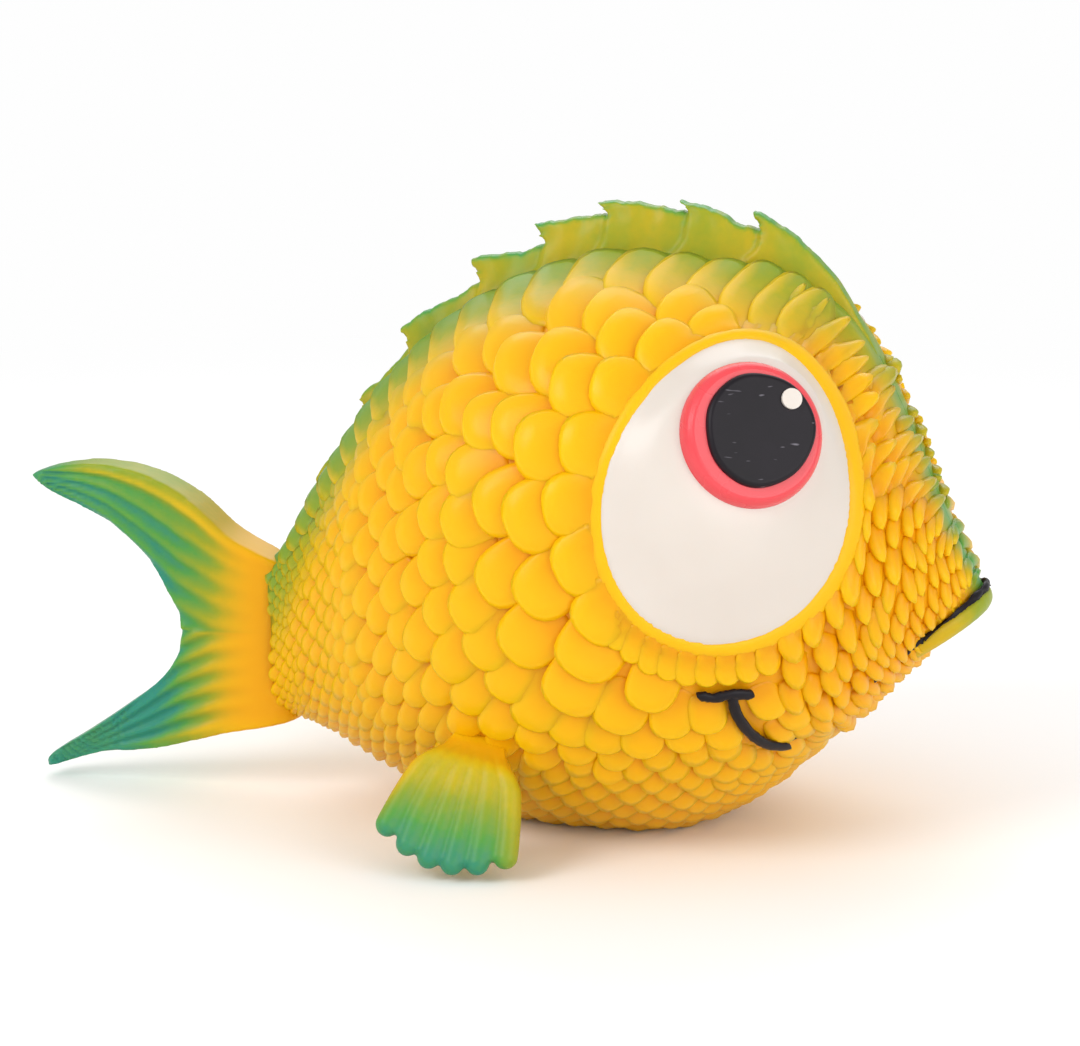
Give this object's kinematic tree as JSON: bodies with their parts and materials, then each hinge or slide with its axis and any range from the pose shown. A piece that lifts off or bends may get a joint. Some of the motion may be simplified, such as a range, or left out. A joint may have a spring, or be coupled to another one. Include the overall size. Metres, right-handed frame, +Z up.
{
  "type": "squeaky bath toy",
  "caption": "Hollow latex fish with bulging painted eyes, overlapping scales, a toothed crest, flexing tail and breast fins, flanks that press in and a reed squeaker in the belly.",
  "frame": {"origin": "middle of the bounding box, on the floor that the fish stands on", "axes": "+X from the tail to the nose, +Y to the fish's left side, +Z up"},
  "size_m": [0.1367, 0.083, 0.0855],
  "materials": {
    "yellow_latex": "painted natural latex, satin",
    "crest_latex": "painted natural latex, green airbrushed over yellow",
    "fin_latex": "painted natural latex, green airbrushed over yellow",
    "white_enamel": "smooth white paint on latex",
    "pink_enamel": "smooth coral pink paint on latex",
    "black_enamel": "smooth black paint on latex",
    "squeaker_plastic": "moulded polyethylene",
    "reed_brass": "thin rolled brass"
  },
  "bodies": {
    "casting": {"body_shell": "yellow_latex", "dorsal_crest": "crest_latex", "lower_lip": "crest_latex", "mouth_line": "black_enamel", "squeaker_barrel": "squeaker_plastic", "squeaker_cap": "squeaker_plastic", "reed_tube": "squeaker_plastic", "reed_clip": "reed_brass"},
    "reed": {"squeaker_reed": "reed_brass"},
    "tail": {"tail_fin": "fin_latex"},
    "right_side": {"right_flank": "yellow_latex", "right_eye_white": "white_enamel", "right_iris": "pink_enamel", "right_pupil": "black_enamel", "right_catchlight": "white_enamel", "right_smile": "black_enamel"},
    "right_fin": {"right_breast_fin": "fin_latex"},
    "left_side": {"left_flank": "yellow_latex", "left_eye_white": "white_enamel", "left_iris": "pink_enamel", "left_pupil": "black_enamel", "left_catchlight": "white_enamel", "left_smile": "black_enamel"},
    "left_fin": {"left_breast_fin": "fin_latex"}
  },
  "joints": [
    {"name": "right_squeeze", "type": "slide", "parent": "casting", "child": "right_side", "axis": [0, 1, 0], "range_m": [0, 0.005], "stiffness_N_per_m": 400},
    {"name": "left_squeeze", "type": "slide", "parent": "casting", "child": "left_side", "axis": [0, -1, 0], "range_m": [0, 0.005], "stiffness_N_per_m": 400},
    {"name": "tail_flex", "type": "hinge", "parent": "casting", "child": "tail", "pos_m": [-0.0363, 0, 0.024], "axis": [0, 0, 1], "range_deg": [-18, 18], "stiffness_Nm_per_rad": 0.2},
    {"name": "right_fin_flex", "type": "hinge", "parent": "right_side", "child": "right_fin", "pos_m": [0.004, -0.03137, 0.01732], "axis": [0.9767, 0, -0.2147], "range_deg": [-12, 2], "stiffness_Nm_per_rad": 0.05},
    {"name": "left_fin_flex", "type": "hinge", "parent": "left_side", "child": "left_fin", "pos_m": [0.004, 0.03137, 0.01732], "axis": [0.9767, 0, -0.2147], "range_deg": [-2, 12], "stiffness_Nm_per_rad": 0.05},
    {"name": "reed_beat", "type": "hinge", "parent": "casting", "child": "reed", "pos_m": [0.0176, 0, 0.003], "axis": [0, 1, 0], "range_deg": [0, 2], "stiffness_Nm_per_rad": 0.002}
  ],
  "couplings": [
    {"joint": "left_squeeze", "follows": "right_squeeze", "ratio": 1}
  ]
}
